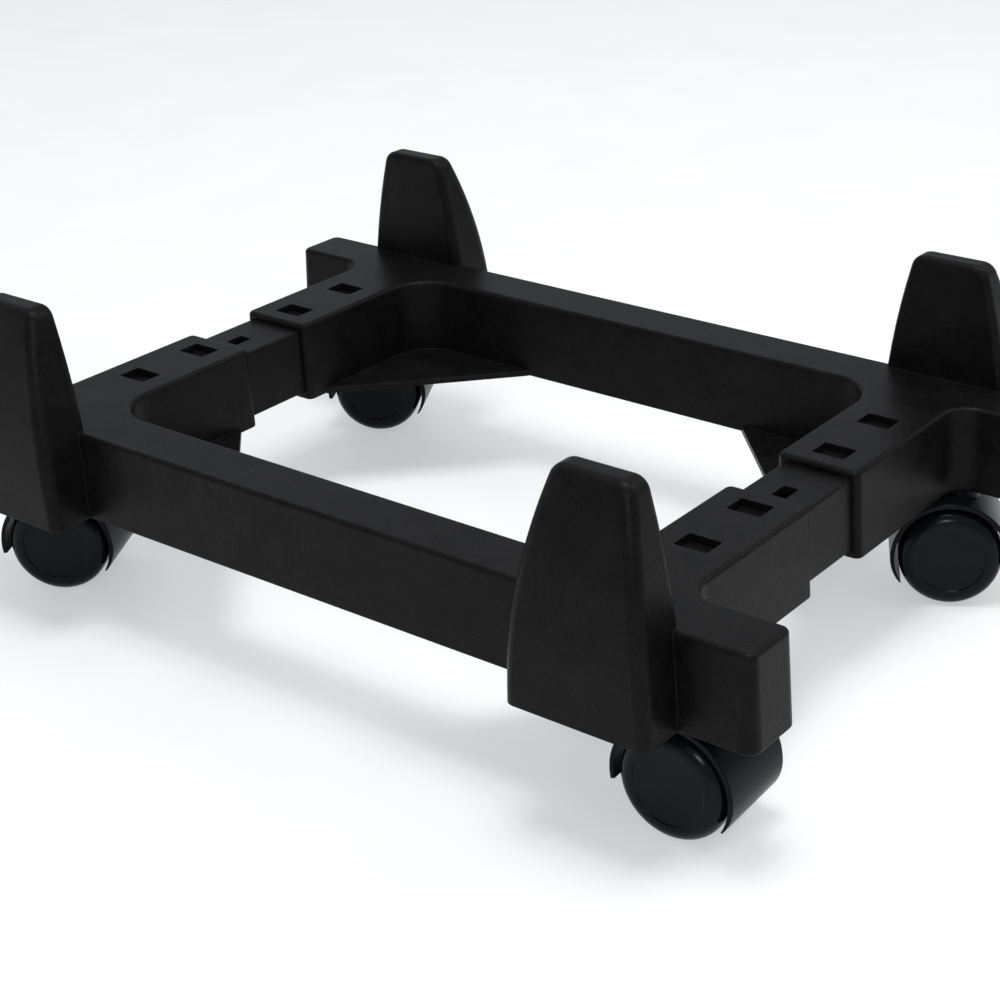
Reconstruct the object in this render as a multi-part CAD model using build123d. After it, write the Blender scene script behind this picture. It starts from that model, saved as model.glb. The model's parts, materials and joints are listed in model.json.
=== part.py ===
from build123d import *
import os
from math import cos, radians, sin, tan

os.makedirs("parts", exist_ok=True)

# Rolling stand for a computer tower. Millimetres, +Z up. The origin is on the floor under the
# middle of the stand: X runs along the two long beams, Y is the direction of width adjustment.

# ---------------------------------------------------------------- driving dimensions
BASE_Z = 45.0            # underside of the half frames above the floor
BEAM_HEIGHT = 34.4
TOP_Z = BASE_Z + BEAM_HEIGHT
DRAFT = 2.3              # moulding draft of all outside walls, degrees

BEAM_HALF_LENGTH = 192.0  # at the top, over the outrigger blocks
BEAM_OUTER_Y = 115.0
BEAM_INNER_Y = 91.6
ARM_INNER_X = 119.0
ARM_OUTER_X = 153.0
SLEEVE_END_Y = 16.0
INNER_CORNER_RADIUS = 18.0
BLOCK_CORNER_RADIUS = 9.0
OUTER_CORNER_RADIUS = 5.0
SLEEVE_CORNER_RADIUS = 3.0
TOP_EDGE_RADIUS = 1.8
BOTTOM_EDGE_RADIUS = 0.8
WALL = 3.0

POST_TOP_Z = TOP_Z + 49.0
POST_INNER_Y = 110.5
POST_OUTER_Y = 133.0
POST_TOP_OUTER_Y = 121.0
POST_STRAIGHT_HEIGHT = 14.0
POST_BASE_X = (108.4, 165.3)
POST_TOP_X = (121.8, 152.3)
POST_SIDE_BULGE = 2.9
POST_EDGE_RADIUS = 4.4
POST_INNER_RADIUS = 2.8
POST_CORNER_RADIUS = 6.0  # where the sides meet the top

GUSSET_THICKNESS = 2.5
GUSSET_ARM_Y = 26.0       # where the diagonal edge meets the arm
GUSSET_BEAM_X = 56.0      # where the diagonal edge meets the beam

WINDOW_X = 13.5
WINDOW_Y = 10.0
WINDOW_CENTRES_Y = (28.4, 60.9)
WINDOW_RADIUS = 0.8

BAR_RECESS = 3.0          # how far each bar face lies inside the sleeve's outside face
SLIDE_GAP = 0.1
BAR_HALF_LENGTH = 70.0
BAR_WALL = 2.5
BAR_EDGE_RADIUS = 1.2
SLEEVE_BORE_END_Y = 87.0
LATCH_HOLE_X = 6.3
LATCH_HOLE_Y = 8.8
LATCH_HOLE_CENTRE_Y = -5.8

POCKET_CEILING = TOP_Z - WALL
POCKET_Y = (-112.0, -94.6)
BEAM_POCKET_END_X = 107.0
BEAM_POCKETS = 5
RIB = 2.5
POST_POCKET_X = POST_TOP_X
POST_POCKET_TOP_Z = TOP_Z + 14.0

STEM_X = 154.0
STEM_Y = 95.5
STEM_RADIUS = 4.0
STEM_BOTTOM_Z = 25.0
STEM_TOP_Z = 73.0
STEM_CHAMFER = 1.0
SOCKET_HOLE_RADIUS = 6.0
SOCKET_TOP_Z = 75.0
RUNNING_GAP = 0.05
SEAT_GAP = 0.02
RING_GROOVE_Z = 67.0
RING_GROOVE_HEIGHT = 1.6
RING_GROOVE_RADIUS = 3.3
RING_HEIGHT = 1.2
RING_INNER_RADIUS = 3.35
RING_OUTER_RADIUS = 4.02
RING_MOUTH = 4.0
WASHER_THICKNESS = 1.0
WASHER_RADIUS = 7.5
WASHER_GAP = 0.1

WHEEL_RADIUS = 20.0
TRAIL = 4.0               # axle behind the swivel axis, towards the tail of the hood
HOOD_INNER_RADIUS = 21.5
HOOD_OUTER_RADIUS = 23.2
HOOD_HALF_WIDTH = 16.6
HOOD_TAIL_ANGLE = -29.0   # tip of the tail, below the axle
HOOD_TAIL_THINNING = 1.1  # how much nearer the axle the outside is at the tip
HOOD_NOSE_ANGLE = 190.0
HOOD_EDGE_RADIUS = 0.5
WEB_HALF_WIDTH = 5.5
WEB_HUB_RADIUS = 8.0
WEB_FRONT_X = -6.5
BOSS_RADIUS = 7.5
BOSS_ROOT_Z = 33.0
AXLE_RADIUS = 2.5
AXLE_HALF_LENGTH = 14.4
WHEEL_INNER_FACE = 6.3
WHEEL_OUTER_FACE = 18.2
WHEEL_SHOULDER = 5.5      # radius of the rounding between tread and outer face
WHEEL_DISH_RADIUS = 13.2
WHEEL_DISH_DEPTH = 0.6
WHEEL_CAVITY_RADIUS = 16.5
WHEEL_CAVITY_END = 13.4
WHEEL_HUB_RADIUS = 5.5
WHEEL_BORE_END = 15.0
TREAD_CHAMFER = 0.8

# Where each caster stands and how far it is swivelled at rest: the direction of its tail.
CASTERS = {
    "front_left": (-STEM_X, -STEM_Y, 30.0),
    "front_right": (STEM_X, -STEM_Y, 3.0),
    "rear_left": (-STEM_X, STEM_Y, 30.0),
    "rear_right": (STEM_X, STEM_Y, 211.0),
}

FLARE = BEAM_HEIGHT * tan(radians(DRAFT))


def box(x, y, z):
    """A box between the low and high values given for each direction."""
    size = [high - low for low, high in (x, y, z)]
    middle = [(high + low) / 2 for low, high in (x, y, z)]
    return Pos(*middle) * Box(*size)


# ---------------------------------------------------------------- half frames
def plan_outline():
    """U-shaped plan of the front half at its underside, where the draft makes it widest."""
    half_length = BEAM_HALF_LENGTH + FLARE
    outer_y = -(BEAM_OUTER_Y + FLARE)
    inner_y = -(BEAM_INNER_Y - FLARE)
    arm_in = ARM_INNER_X - FLARE
    arm_out = ARM_OUTER_X + FLARE
    block = [(half_length, outer_y), (half_length, inner_y)]
    arm = [(arm_out, inner_y), (arm_out, 0), (arm_in, 0), (arm_in, inner_y)]
    right = block + arm
    left = [(-x, y) for x, y in reversed(right)]
    outline = make_face(Polyline(*right, *left, close=True))

    def rounded(sketch, x, y, radius):
        chosen = [v for v in sketch.vertices() if abs(abs(v.X) - x) < 0.1 and abs(v.Y - y) < 0.1]
        return fillet(chosen, radius)

    outline = rounded(outline, arm_in, inner_y, INNER_CORNER_RADIUS)
    outline = rounded(outline, arm_out, inner_y, BLOCK_CORNER_RADIUS)
    outline = rounded(outline, half_length, outer_y, OUTER_CORNER_RADIUS)
    return rounded(outline, half_length, inner_y, OUTER_CORNER_RADIUS)


def sleeve_section(inset):
    """Section of an arm at X and Z, its faces moved in by inset; the sides follow the draft."""
    low = BASE_Z + inset
    high = TOP_Z - inset

    def spread(z):
        return (TOP_Z - z) * tan(radians(DRAFT))

    points = [
        (ARM_INNER_X - spread(low) + inset, low),
        (ARM_OUTER_X + spread(low) - inset, low),
        (ARM_OUTER_X + spread(high) - inset, high),
        (ARM_INNER_X - spread(high) + inset, high),
    ]
    return make_face(Plane.XZ * Polyline(*points, close=True))


def prism_along_y(face, low, high):
    """Extrudes an XZ section from Y = low to Y = high."""
    return Pos(0, low, 0) * extrude(face, amount=high - low, dir=(0, 1, 0))


def post():
    """Right-hand front post: an outer face that curves in, two slightly bulged, tapering sides, a round top."""
    bend_z = BASE_Z + POST_STRAIGHT_HEIGHT
    curve = TangentArc((-POST_OUTER_Y, bend_z), (-POST_TOP_OUTER_Y, POST_TOP_Z), tangent=(0, 1))
    lower = Polyline(
        (-POST_TOP_OUTER_Y, POST_TOP_Z),
        (-POST_INNER_Y, POST_TOP_Z),
        (-POST_INNER_Y, BASE_Z),
        (-POST_OUTER_Y, BASE_Z),
        (-POST_OUTER_Y, bend_z),
    )
    side = extrude(make_face(Plane.YZ * (curve + lower)), amount=2 * BEAM_HALF_LENGTH, dir=(1, 0, 0))

    def flank(base_x, top_x, outward):
        middle = ((base_x + top_x) / 2 + outward * POST_SIDE_BULGE, (BASE_Z + POST_TOP_Z) / 2)
        return ThreePointArc((base_x, BASE_Z), middle, (top_x, POST_TOP_Z))

    front = flank(POST_BASE_X[0], POST_TOP_X[0], -1) + flank(POST_BASE_X[1], POST_TOP_X[1], 1)
    front += Line((POST_TOP_X[0], POST_TOP_Z), (POST_TOP_X[1], POST_TOP_Z))
    front += Line((POST_BASE_X[0], BASE_Z), (POST_BASE_X[1], BASE_Z))
    face = make_face(front)
    face = fillet(face.vertices().group_by(Axis.Y)[-1], POST_CORNER_RADIUS)
    body = side & prism_along_y(Plane.XZ * face, -2 * BEAM_OUTER_Y, 0)
    rising = [e for e in body.edges() if e.bounding_box().size.Z > POST_STRAIGHT_HEIGHT / 2]
    body = fillet([e for e in rising if e.center().Y < -POST_INNER_Y - 1], POST_EDGE_RADIUS)
    rising = [e for e in body.edges() if e.bounding_box().size.Z > POST_TOP_Z - TOP_Z]
    return fillet([e for e in rising if e.center().Y > -POST_INNER_Y - 0.1], POST_INNER_RADIUS)


def gusset():
    """Thin plate across the right-hand inner corner, flush with the underside."""
    overlap = 3.0
    arm_x = ARM_INNER_X - FLARE
    beam_y = -(BEAM_INNER_Y - FLARE)
    points = [
        (arm_x, -GUSSET_ARM_Y),
        (arm_x + overlap, -GUSSET_ARM_Y),
        (arm_x + overlap, beam_y - overlap),
        (GUSSET_BEAM_X, beam_y - overlap),
        (GUSSET_BEAM_X, beam_y),
    ]
    plate = extrude(make_face(Polyline(*points, close=True)), amount=GUSSET_THICKNESS, dir=(0, 0, 1))
    return Pos(0, 0, BASE_Z) * plate


def windows():
    """The latch windows through the top wall of the right-hand sleeve."""
    centre_x = (ARM_INNER_X + ARM_OUTER_X) / 2
    outline = RectangleRounded(WINDOW_X, WINDOW_Y, WINDOW_RADIUS)
    cut = Pos(0, 0, TOP_Z - 1.5 * WALL) * extrude(outline, amount=3 * WALL, dir=(0, 0, 1))
    return [Pos(centre_x, -centre_y, 0) * cut for centre_y in WINDOW_CENTRES_Y]


def pockets():
    """Cored-out cells of the underside: the beam's ribs, and the corner beside the swivel boss."""
    cells = []
    pitch = 2 * BEAM_POCKET_END_X / BEAM_POCKETS
    for i in range(BEAM_POCKETS):
        start = -BEAM_POCKET_END_X + i * pitch
        cells.append(box((start + RIB / 2, start + pitch - RIB / 2), POCKET_Y, (0, POCKET_CEILING)))
    boss = BOSS_RADIUS + WALL
    corner_cells = [
        box((BEAM_POCKET_END_X + RIB, STEM_X - boss), POCKET_Y, (0, POCKET_CEILING)),
        box((STEM_X + boss, BEAM_HALF_LENGTH - WALL), POCKET_Y, (0, POCKET_CEILING)),
        box(POST_POCKET_X, (-POST_OUTER_Y + 2 * WALL, -BEAM_OUTER_Y - WALL), (0, POST_POCKET_TOP_Z)),
    ]
    return cells + corner_cells + [mirror(cell, Plane.YZ) for cell in corner_cells]


def half_frame():
    """The front half: one moulding of beam, blocks, posts, sleeve arms and gussets."""
    body = extrude(plan_outline(), amount=BEAM_HEIGHT, dir=(0, 0, 1), taper=DRAFT)
    body = Pos(0, 0, BASE_Z) * body
    body -= box((-2 * ARM_OUTER_X, 2 * ARM_OUTER_X), (-SLEEVE_END_Y, SLEEVE_END_Y), (0, 2 * TOP_Z))
    rising = [e for e in body.edges() if e.bounding_box().size.Z > BEAM_HEIGHT / 2]
    body = fillet([e for e in rising if abs(e.center().Y + SLEEVE_END_Y) < 0.01], SLEEVE_CORNER_RADIUS)
    body = fillet([e for e in body.edges() if e.bounding_box().min.Z > TOP_Z - 0.01], TOP_EDGE_RADIUS)
    body = fillet([e for e in body.edges() if e.bounding_box().max.Z < BASE_Z + 0.01], BOTTOM_EDGE_RADIUS)
    bore = prism_along_y(sleeve_section(BAR_RECESS - SLIDE_GAP), -SLEEVE_BORE_END_Y, 0)
    stem_hole = Pos(STEM_X, -STEM_Y, 0) * upright(SOCKET_HOLE_RADIUS, 0, SOCKET_TOP_Z)
    added = [post(), gusset()]
    removed = [bore, stem_hole, *windows()]
    body += added + [mirror(piece, Plane.YZ) for piece in added]
    body -= removed + [mirror(piece, Plane.YZ) for piece in removed]
    body -= pockets()
    return body


def link_bar():
    """Right-hand inner bar: a tube that telescopes in both halves, with one latch hole on top."""
    outside = prism_along_y(sleeve_section(BAR_RECESS), -BAR_HALF_LENGTH, BAR_HALF_LENGTH)
    long_edges = [e for e in outside.edges() if e.bounding_box().size.Y > BAR_HALF_LENGTH]
    outside = fillet(long_edges, BAR_EDGE_RADIUS)
    inside = prism_along_y(sleeve_section(BAR_RECESS + BAR_WALL), -2 * BAR_HALF_LENGTH, 2 * BAR_HALF_LENGTH)
    centre_x = (ARM_INNER_X + ARM_OUTER_X) / 2
    hole = Pos(centre_x, LATCH_HOLE_CENTRE_Y, TOP_Z) * Box(LATCH_HOLE_X, LATCH_HOLE_Y, 4 * WALL)
    return outside - inside - hole


# ---------------------------------------------------------------- caster pieces
# Each is made about a swivel axis at X = Y = 0, with the tail of the hood towards +X.
def upright(radius, low, high):
    """A cylinder on the swivel axis."""
    return Pos(0, 0, low) * Cylinder(radius, high - low, align=(Align.CENTER, Align.CENTER, Align.MIN))


def crosswise(radius, half_length):
    """A cylinder on the wheel axle."""
    return Pos(TRAIL, 0, WHEEL_RADIUS) * Rot(90, 0, 0) * Cylinder(radius, 2 * half_length)


def around_axle(radius, angle):
    """A point at a radius from the axle, at an angle above the tail side."""
    return (TRAIL + radius * cos(radians(angle)), WHEEL_RADIUS + radius * sin(radians(angle)))


def hood():
    """Fender over both wheels with a tapering tail, the web between them and the swivel boss."""
    outer = [around_axle(HOOD_OUTER_RADIUS, angle) for angle in (0, 90, HOOD_NOSE_ANGLE)]
    inner = [around_axle(HOOD_INNER_RADIUS, angle) for angle in (HOOD_TAIL_ANGLE, 90, HOOD_NOSE_ANGLE)]
    tail_tip = around_axle(HOOD_OUTER_RADIUS - HOOD_TAIL_THINNING, HOOD_TAIL_ANGLE)
    tail_middle = around_axle(HOOD_OUTER_RADIUS - HOOD_TAIL_THINNING / 4, HOOD_TAIL_ANGLE / 2)
    outline = ThreePointArc(*outer) + ThreePointArc(*inner)
    outline += ThreePointArc(outer[0], tail_middle, tail_tip)
    outline += Line(tail_tip, inner[0])
    outline += Line(outer[-1], inner[-1])
    section = make_face(Plane.XZ * outline)
    shell = prism_along_y(section, -HOOD_HALF_WIDTH, HOOD_HALF_WIDTH)
    rims = [e for e in shell.edges().filter_by(GeomType.CIRCLE) if abs(e.radius - HOOD_OUTER_RADIUS) < 0.01]
    shell = fillet(rims, HOOD_EDGE_RADIUS)
    boss = upright(BOSS_RADIUS, BOSS_ROOT_Z, BASE_Z - WASHER_THICKNESS)
    boss -= crosswise(HOOD_INNER_RADIUS, 2 * BOSS_RADIUS)
    web_x = (WEB_FRONT_X, TRAIL + WEB_HUB_RADIUS)
    web = box(web_x, (-WEB_HALF_WIDTH, WEB_HALF_WIDTH), (WHEEL_RADIUS, BASE_Z))
    web &= crosswise((HOOD_INNER_RADIUS + HOOD_OUTER_RADIUS) / 2, WEB_HALF_WIDTH)
    body = shell + boss + web + crosswise(WEB_HUB_RADIUS, WEB_HALF_WIDTH)
    body -= upright(STEM_RADIUS + SEAT_GAP, STEM_BOTTOM_Z, 2 * BASE_Z)
    return body - crosswise(AXLE_RADIUS + SEAT_GAP, 2 * WEB_HALF_WIDTH)


def stem():
    """Steel swivel pin with a groove for its grip ring."""
    pin = upright(STEM_RADIUS, STEM_BOTTOM_Z, STEM_TOP_Z)
    pin = chamfer(pin.edges().group_by(Axis.Z)[-1], STEM_CHAMFER)
    groove = upright(2 * STEM_RADIUS, RING_GROOVE_Z, RING_GROOVE_Z + RING_GROOVE_HEIGHT)
    groove -= upright(RING_GROOVE_RADIUS, RING_GROOVE_Z, RING_GROOVE_Z + RING_GROOVE_HEIGHT)
    return pin - groove


def grip_ring():
    """Split spring ring that holds the stem in its socket."""
    low = RING_GROOVE_Z + (RING_GROOVE_HEIGHT - RING_HEIGHT) / 2
    ring = upright(RING_OUTER_RADIUS, low, low + RING_HEIGHT) - upright(RING_INNER_RADIUS, 0, 2 * low)
    return ring - box((0, 2 * RING_OUTER_RADIUS), (-RING_MOUTH / 2, RING_MOUTH / 2), (0, 2 * low))


def stem_socket():
    """Closed-top bush pressed into the frame, in which the stem turns."""
    bush = upright(SOCKET_HOLE_RADIUS - SEAT_GAP, BASE_Z, SOCKET_TOP_Z)
    return bush - upright(STEM_RADIUS + RUNNING_GAP, 0, (STEM_TOP_Z + SOCKET_TOP_Z) / 2)


def thrust_washer():
    """Washer between the hood's boss and the underside of the frame."""
    disc = upright(WASHER_RADIUS, BASE_Z - WASHER_THICKNESS, BASE_Z)
    return disc - upright(STEM_RADIUS + WASHER_GAP, 0, 2 * BASE_Z)


def wheel(side):
    """One of the twin wheels: dished outer face, wide round shoulder, hollow behind; side is -1 or 1."""
    bore = AXLE_RADIUS + RUNNING_GAP
    dish_face = WHEEL_OUTER_FACE - WHEEL_DISH_DEPTH
    face_edge = WHEEL_RADIUS - WHEEL_SHOULDER
    tread_end = WHEEL_OUTER_FACE - WHEEL_SHOULDER
    outline = Polyline(
        (WHEEL_RADIUS, tread_end),
        (WHEEL_RADIUS, WHEEL_INNER_FACE + TREAD_CHAMFER),
        (WHEEL_RADIUS - TREAD_CHAMFER, WHEEL_INNER_FACE),
        (WHEEL_CAVITY_RADIUS, WHEEL_INNER_FACE),
        (WHEEL_CAVITY_RADIUS, WHEEL_CAVITY_END),
        (WHEEL_HUB_RADIUS, WHEEL_CAVITY_END),
        (WHEEL_HUB_RADIUS, WHEEL_INNER_FACE),
        (bore, WHEEL_INNER_FACE),
        (bore, WHEEL_BORE_END),
        (0, WHEEL_BORE_END),
        (0, dish_face),
        (WHEEL_DISH_RADIUS, dish_face),
        (WHEEL_DISH_RADIUS + WHEEL_DISH_DEPTH / 2, WHEEL_OUTER_FACE),
        (face_edge, WHEEL_OUTER_FACE),
    )
    middle = WHEEL_SHOULDER * sin(radians(45))
    shoulder = ThreePointArc(
        (face_edge, WHEEL_OUTER_FACE), (face_edge + middle, tread_end + middle), (WHEEL_RADIUS, tread_end)
    )
    body = revolve(make_face(outline + shoulder), Axis.Y)
    body = body if side > 0 else mirror(body, Plane.XZ)
    return Pos(TRAIL, 0, WHEEL_RADIUS) * body


# ---------------------------------------------------------------- assembly
nodes = {}
front_half = half_frame()
nodes["front_half_frame"] = front_half
nodes["rear_half_frame"] = Rot(0, 0, 180) * front_half
nodes["right_link_bar"] = link_bar()
nodes["left_link_bar"] = mirror(nodes["right_link_bar"], Plane.YZ)

caster_pieces = {
    "stem_socket": stem_socket(),
    "stem": stem(),
    "grip_ring": grip_ring(),
    "thrust_washer": thrust_washer(),
    "caster_hood": hood(),
    "axle": crosswise(AXLE_RADIUS, AXLE_HALF_LENGTH),
    "outer_wheel": wheel(-1),
    "inner_wheel": wheel(1),
}
for corner, (x, y, angle) in CASTERS.items():
    for name, piece in caster_pieces.items():
        nodes[f"{corner}_{name}"] = Pos(x, y, 0) * Rot(0, 0, angle) * piece

for name, shape in nodes.items():
    solids = shape.solids()
    export_step(solids[0] if len(solids) == 1 else Compound(solids), f"parts/{name}.step")
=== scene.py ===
import json
import math

import bpy
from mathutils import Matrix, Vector


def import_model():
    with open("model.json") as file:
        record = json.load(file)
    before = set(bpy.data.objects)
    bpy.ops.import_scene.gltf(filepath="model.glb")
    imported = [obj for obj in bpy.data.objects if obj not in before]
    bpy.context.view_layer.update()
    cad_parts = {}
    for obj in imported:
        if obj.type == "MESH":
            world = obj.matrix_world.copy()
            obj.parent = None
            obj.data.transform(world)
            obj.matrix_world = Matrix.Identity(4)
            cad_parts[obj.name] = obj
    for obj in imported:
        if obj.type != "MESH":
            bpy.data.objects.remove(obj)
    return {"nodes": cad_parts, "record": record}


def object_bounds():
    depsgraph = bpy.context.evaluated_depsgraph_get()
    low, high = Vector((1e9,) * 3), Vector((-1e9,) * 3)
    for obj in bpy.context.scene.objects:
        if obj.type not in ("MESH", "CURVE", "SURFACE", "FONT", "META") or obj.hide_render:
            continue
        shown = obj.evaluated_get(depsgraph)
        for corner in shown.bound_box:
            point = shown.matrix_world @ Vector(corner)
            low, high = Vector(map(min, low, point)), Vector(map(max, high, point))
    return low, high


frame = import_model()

CAD_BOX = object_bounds()
MM = 0.001


# ---------------------------------------------------------------- node helpers
def link(tree, source, target):
    """Joins two sockets of a node tree."""
    tree.links.new(source, target)


def object_coordinates(tree):
    """Coordinates in metres on the piece itself, so the texture moves with it."""
    return tree.nodes.new("ShaderNodeTexCoord").outputs["Object"]


def noise(tree, coordinates, size, detail=2.0, roughness=0.5):
    """Noise whose features are about size metres across."""
    node = tree.nodes.new("ShaderNodeTexNoise")
    node.inputs["Scale"].default_value = 1 / size
    node.inputs["Detail"].default_value = detail
    node.inputs["Roughness"].default_value = roughness
    link(tree, coordinates, node.inputs["Vector"])
    return node.outputs["Fac"]


def ramp(tree, factor, stops):
    """A colour ramp with the given (position, colour) stops."""
    node = tree.nodes.new("ShaderNodeValToRGB")
    elements = node.color_ramp.elements
    while len(elements) < len(stops):
        elements.new(0.5)
    for element, (position, colour) in zip(elements, stops):
        element.position = position
        element.color = (*colour, 1)
    link(tree, factor, node.inputs["Fac"])
    return node.outputs["Color"]


def mottled_colour(tree, mottle, dark, light):
    """Dark to light over the middle of a noise's range."""
    return ramp(tree, mottle, [(0.3, dark), (0.7, light)])


def to_range(tree, factor, low, high):
    """Maps a 0 to 1 factor to the range from low to high."""
    node = tree.nodes.new("ShaderNodeMapRange")
    node.inputs["To Min"].default_value = low
    node.inputs["To Max"].default_value = high
    link(tree, factor, node.inputs["Value"])
    return node.outputs["Result"]


def arithmetic(tree, operation, first, second):
    """The result of MULTIPLY, SUBTRACT or the like on two number sockets."""
    node = tree.nodes.new("ShaderNodeMath")
    node.operation = operation
    link(tree, first, node.inputs[0])
    link(tree, second, node.inputs[1])
    return node.outputs["Value"]


def mix(tree, factor, first, second):
    """Mixes two colour sockets."""
    node = tree.nodes.new("ShaderNodeMix")
    node.data_type = "RGBA"
    link(tree, factor, node.inputs["Factor"])
    link(tree, first, node.inputs["A"])
    link(tree, second, node.inputs["B"])
    return node.outputs["Result"]


def bump(tree, height, distance, strength, normal=None):
    """Bump of a height socket, distance metres deep at strength 1."""
    node = tree.nodes.new("ShaderNodeBump")
    node.inputs["Distance"].default_value = distance
    node.inputs["Strength"].default_value = strength
    link(tree, height, node.inputs["Height"])
    if normal is not None:
        link(tree, normal, node.inputs["Normal"])
    return node.outputs["Normal"]


def new_material(name):
    """A new material with its node tree and its Principled shader."""
    material = bpy.data.materials.new(name)
    material.use_nodes = True
    return material, material.node_tree, material.node_tree.nodes["Principled BSDF"]


# ---------------------------------------------------------------- moulded plastic
EDGE_RADIUS = 0.5 * MM
EDGE_SAMPLES = 6
FLAT_COSINE = 0.995
WORN_COSINE = 0.86

MOTTLE_SIZE = 12 * MM
MOTTLE_SHARE = (0.2, 0.8)
PIT_SIZE = 1.4  # in grains
PIT_SHARE = (0.2, 1.9)
DARK_AT, LIGHT_AT = 0.25, 0.75

PATCH_SIZE = 6 * MM
UNWORN_AT, WORN_AT = 0.38, 0.62
BRIGHTEST_WEAR = 1.3  # times the worn colour
POLISH = (0.06, 0.12)
GLOSS_SIZE = 2.5  # in grains

WAVE_SIZE = 24 * MM
WAVE_DEPTH = 0.3 * MM
WAVE_STRENGTH = 0.35
GRAIN_STRENGTH = 0.8

BLACK = (0, 0, 0)
WHITE = (1, 1, 1)


def rounded_edges(tree):
    """Normals that round sharp edges, and a factor from 0 on flats to 1 on edges, inner corners included."""
    rounded = tree.nodes.new("ShaderNodeBevel")
    rounded.samples = EDGE_SAMPLES
    rounded.inputs["Radius"].default_value = EDGE_RADIUS
    cosine = tree.nodes.new("ShaderNodeVectorMath")
    cosine.operation = "DOT_PRODUCT"
    link(tree, rounded.outputs["Normal"], cosine.inputs[0])
    link(tree, tree.nodes.new("ShaderNodeNewGeometry").outputs["Normal"], cosine.inputs[1])
    edge = tree.nodes.new("ShaderNodeMapRange")
    edge.inputs["From Min"].default_value = FLAT_COSINE
    edge.inputs["From Max"].default_value = WORN_COSINE
    link(tree, cosine.outputs["Value"], edge.inputs["Value"])
    return rounded.outputs["Normal"], edge.outputs["Result"]


def moulded_plastic(name, dark, light, worn, grain, depth, roughness, specular):
    """Black moulded plastic: spark texture, faint mottling, edges rubbed a little lighter and glossier."""
    material, tree, shader = new_material(name)
    place = object_coordinates(tree)
    soft_normal, edge = rounded_edges(tree)

    mottle = noise(tree, place, MOTTLE_SIZE, detail=5, roughness=0.6)
    pits = noise(tree, place, PIT_SIZE * grain, detail=3, roughness=0.75)
    tint = arithmetic(
        tree,
        "MULTIPLY",
        to_range(tree, mottle, *MOTTLE_SHARE),
        to_range(tree, pits, *PIT_SHARE),
    )
    colour = ramp(tree, tint, [(DARK_AT, dark), (LIGHT_AT, light)])

    spread = noise(tree, place, PATCH_SIZE, detail=4, roughness=0.7)
    patches = ramp(tree, spread, [(UNWORN_AT, BLACK), (WORN_AT, WHITE)])
    rubbed = arithmetic(tree, "MULTIPLY", edge, patches)
    brightest = tuple(BRIGHTEST_WEAR * part for part in worn)
    rubbed_colour = mottled_colour(tree, mottle, worn, brightest)
    link(tree, mix(tree, rubbed, colour, rubbed_colour), shader.inputs["Base Color"])

    sheen = noise(tree, place, GLOSS_SIZE * grain, detail=4, roughness=0.7)
    polish = arithmetic(tree, "MULTIPLY", rubbed, to_range(tree, mottle, *POLISH))
    polished = arithmetic(tree, "SUBTRACT", to_range(tree, sheen, *roughness), polish)
    link(tree, polished, shader.inputs["Roughness"])

    waves = noise(tree, place, WAVE_SIZE, detail=1)
    waviness = bump(tree, waves, WAVE_DEPTH, WAVE_STRENGTH, soft_normal)
    speck = noise(tree, place, grain, detail=3, roughness=0.7)
    link(tree, bump(tree, speck, depth, GRAIN_STRENGTH, waviness), shader.inputs["Normal"])
    shader.inputs["Specular IOR Level"].default_value = specular
    return material


PLASTICS = {
    "frame_plastic": dict(
        dark=(0.0010, 0.0010, 0.0013),
        light=(0.0078, 0.0073, 0.0079),
        worn=(0.016, 0.016, 0.017),
        grain=0.75 * MM,
        depth=0.16 * MM,
        roughness=(0.27, 0.41),
        specular=0.075,
    ),
    "bar_plastic": dict(
        dark=(0.0010, 0.0010, 0.0013),
        light=(0.0070, 0.0066, 0.0072),
        worn=(0.017, 0.017, 0.018),
        grain=0.65 * MM,
        depth=0.11 * MM,
        roughness=(0.27, 0.40),
        specular=0.075,
    ),
    "caster_plastic": dict(
        dark=(0.0012, 0.0014, 0.0020),
        light=(0.0050, 0.0055, 0.0070),
        worn=(0.016, 0.016, 0.018),
        grain=0.5 * MM,
        depth=0.03 * MM,
        roughness=(0.24, 0.34),
        specular=0.075,
    ),
    "wheel_plastic": dict(
        dark=(0.0010, 0.0012, 0.0017),
        light=(0.0042, 0.0047, 0.0060),
        worn=(0.015, 0.015, 0.017),
        grain=0.5 * MM,
        depth=0.025 * MM,
        roughness=(0.16, 0.25),
        specular=0.11,
    ),
}


# ---------------------------------------------------------------- steel, nylon and floor
def mottled(name, size, detail, dark, light, roughness, grain, depth, metallic=0.0):
    """A plain material: mottled in colour and gloss, with a fine grain of the given depth."""
    material, tree, shader = new_material(name)
    place = object_coordinates(tree)
    mottle = noise(tree, place, size, detail=detail)
    link(tree, mottled_colour(tree, mottle, dark, light), shader.inputs["Base Color"])
    link(tree, to_range(tree, mottle, *roughness), shader.inputs["Roughness"])
    rough = bump(tree, noise(tree, place, grain), distance=depth, strength=0.5)
    link(tree, rough, shader.inputs["Normal"])
    shader.inputs["Metallic"].default_value = metallic
    return material


def steel():
    """Zinc-plated steel."""
    return mottled(
        "steel",
        size=3 * MM,
        detail=4,
        dark=(0.42, 0.42, 0.43),
        light=(0.6, 0.6, 0.6),
        roughness=(0.22, 0.42),
        grain=0.3 * MM,
        depth=0.02 * MM,
        metallic=1.0,
    )


def natural_nylon():
    """Off-white nylon."""
    return mottled(
        "nylon",
        size=4 * MM,
        detail=3,
        dark=(0.5, 0.49, 0.45),
        light=(0.62, 0.61, 0.57),
        roughness=(0.35, 0.5),
        grain=0.4 * MM,
        depth=0.03 * MM,
    )


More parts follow.
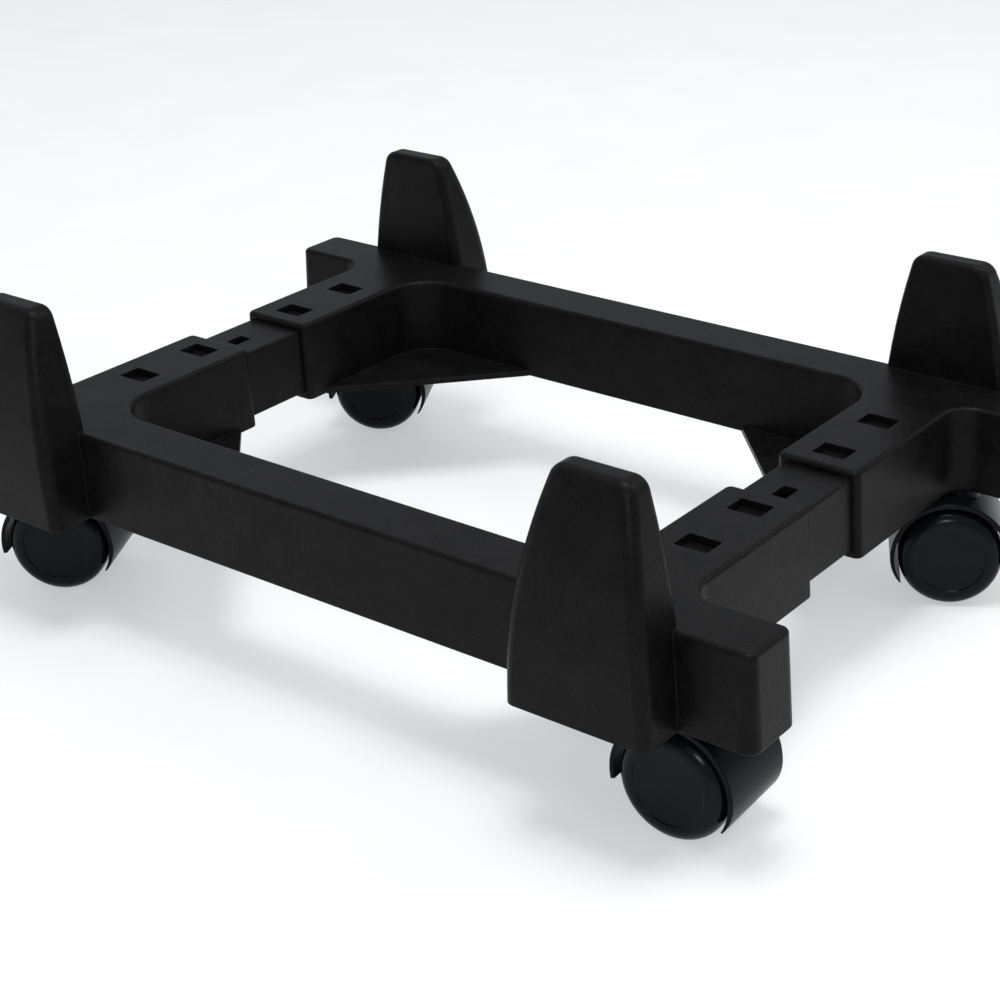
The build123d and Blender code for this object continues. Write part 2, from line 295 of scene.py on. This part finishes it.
def pale_floor():
    """Plain pale floor that glows a little, as a lit sweep does, with a barely visible mottling."""
    material, tree, shader = new_material("floor_pale")
    mottle = noise(tree, object_coordinates(tree), 60 * MM)
    colour = mottled_colour(tree, mottle, (0.50, 0.505, 0.51), (0.53, 0.535, 0.54))
    link(tree, colour, shader.inputs["Base Color"])
    shader.inputs["Roughness"].default_value = 0.55
    shader.inputs["Emission Color"].default_value = (0.97, 0.98, 1.0, 1)
    shader.inputs["Emission Strength"].default_value = 0.43
    return material


# ---------------------------------------------------------------- the pieces' materials
MATERIALS = {name: moulded_plastic(name, **finish) for name, finish in PLASTICS.items()}
MATERIALS["nylon"] = natural_nylon()
MATERIALS["steel"] = steel()
SLOT_OF = {part["node"]: part["material_slot"] for part in frame["record"]["subparts"]}
for node, piece in frame["nodes"].items():
    piece.data.materials.clear()
    piece.data.materials.append(MATERIALS[SLOT_OF[node]])


# ---------------------------------------------------------------- room, lights and camera
FLOOR_SIZE = 16

ORIGIN = (0, 0, 0)
LIGHTS = {
    "overhead": dict(place=(0.1, -0.05, 1.6), aim=ORIGIN, size=0.6, power=15, colour=(1.0, 0.98, 0.95)),
    "back_right": dict(place=(0.75, 0.75, 1.2), aim=ORIGIN, size=0.8, power=5, colour=WHITE),
    "by_camera": dict(place=(0.62, -0.83, 0.60), aim=(0, 0, 0.06), size=0.12, power=2.4, colour=WHITE),
}

CAMERA_TARGET = (-0.0164, 0.0861, 0.0584)
CAMERA_DISTANCE = 0.9002
AZIMUTH, ELEVATION, ROLL = math.radians(37.07), math.radians(22.01), math.radians(-1.54)
LENS, SENSOR_WIDTH = 75.5, 36.0
SHIFT_X, SHIFT_Y = -0.094, -0.131

SKY_COLOUR = (0.93, 0.965, 1.0, 1)
SKY_STRENGTH = 0.55


def floor():
    """A big plane under the casters."""
    bpy.ops.mesh.primitive_plane_add(size=FLOOR_SIZE, location=(0, 0, CAD_BOX[0][2]))
    plane = bpy.context.object
    plane.name = "floor"
    plane.data.materials.append(pale_floor())


def area_light(name, place, aim, size, power, colour):
    """A square soft light at place, turned towards aim."""
    data = bpy.data.lights.new(name, "AREA")
    data.energy = power
    data.size = size
    data.color = colour
    light = bpy.data.objects.new(name, data)
    light.location = place
    light.rotation_euler = (Vector(aim) - Vector(place)).to_track_quat("-Z", "Y").to_euler()
    bpy.context.scene.collection.objects.link(light)


def camera():
    """The camera: azimuth and elevation about a target, a slight roll, a long lens with a small shift."""
    back = Vector((
        math.sin(AZIMUTH) * math.cos(ELEVATION),
        -math.cos(AZIMUTH) * math.cos(ELEVATION),
        math.sin(ELEVATION),
    ))
    data = bpy.data.cameras.new("camera")
    data.lens = LENS
    data.sensor_width = SENSOR_WIDTH
    data.shift_x = SHIFT_X
    data.shift_y = SHIFT_Y
    data.clip_start = 10 * MM
    view = bpy.data.objects.new("camera", data)
    view.location = Vector(CAMERA_TARGET) + CAMERA_DISTANCE * back
    view.rotation_euler = back.to_track_quat("Z", "Y").to_euler()
    view.rotation_euler.rotate_axis("Z", ROLL)
    bpy.context.scene.collection.objects.link(view)
    bpy.context.scene.camera = view


def world():
    """Even white surroundings, a little cool."""
    scene_world = bpy.data.worlds.new("world")
    bpy.context.scene.world = scene_world
    scene_world.use_nodes = True
    background = scene_world.node_tree.nodes["Background"]
    background.inputs["Color"].default_value = SKY_COLOUR
    background.inputs["Strength"].default_value = SKY_STRENGTH


floor()
for light_name, settings in LIGHTS.items():
    area_light(light_name, **settings)
camera()
world()
bpy.context.scene.view_settings.view_transform = "Standard"
